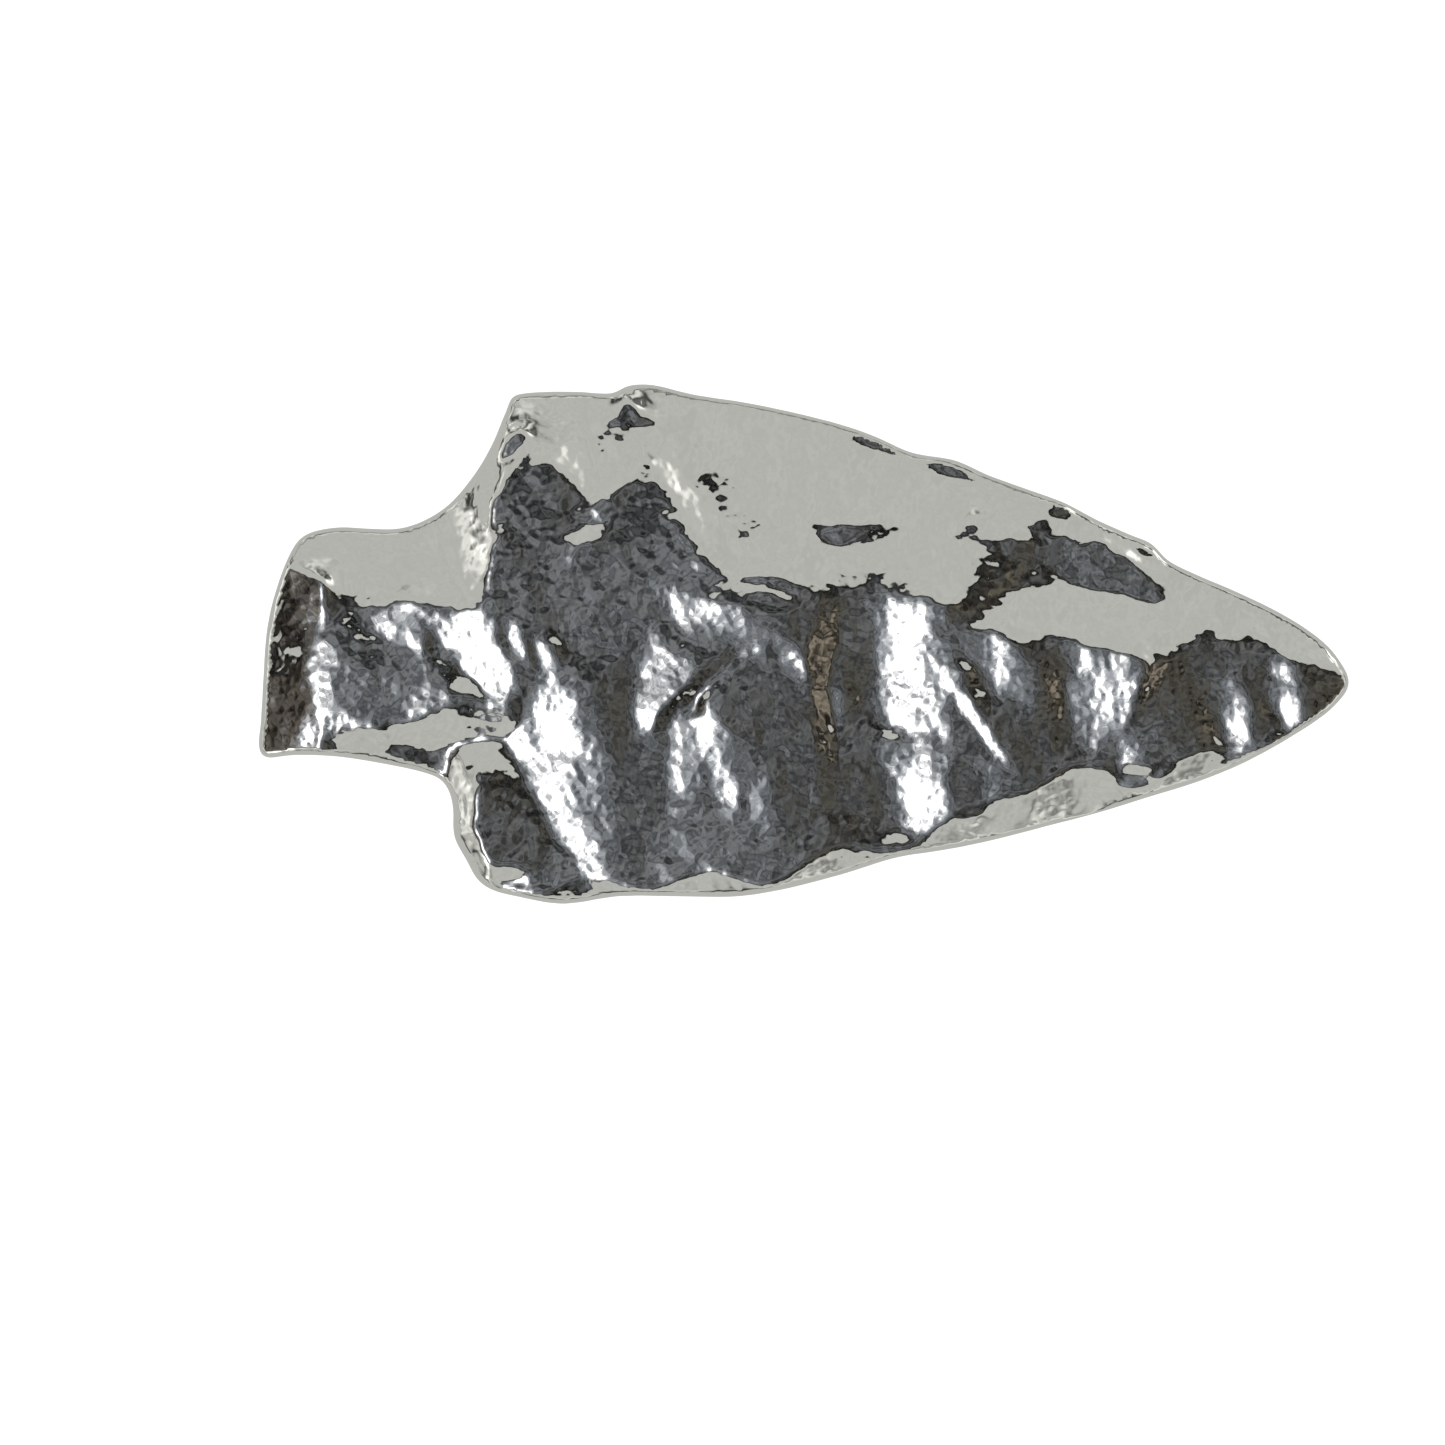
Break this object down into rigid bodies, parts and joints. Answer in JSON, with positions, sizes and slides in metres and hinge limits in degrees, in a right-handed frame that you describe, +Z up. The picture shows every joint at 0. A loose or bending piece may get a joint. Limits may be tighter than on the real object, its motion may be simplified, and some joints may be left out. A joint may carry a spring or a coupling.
{
  "type": "cast metal arrowhead",
  "caption": "Stemmed, side-notched arrowhead cast in one solid piece of mirror-polished silver metal, flaked on its face and flat on its back.",
  "frame": {"origin": "centre of the arrowhead's outline box, on the plane of its flat back", "axes": "+X towards the tip, +Y towards the long bevelled edge, +Z up out of the flaked face"},
  "size_m": [0.05, 0.0238, 0.0049],
  "materials": {
    "polished_silver": "polished"
  },
  "bodies": {
    "root": {"arrowhead": "polished_silver"}
  },
  "joints": []
}
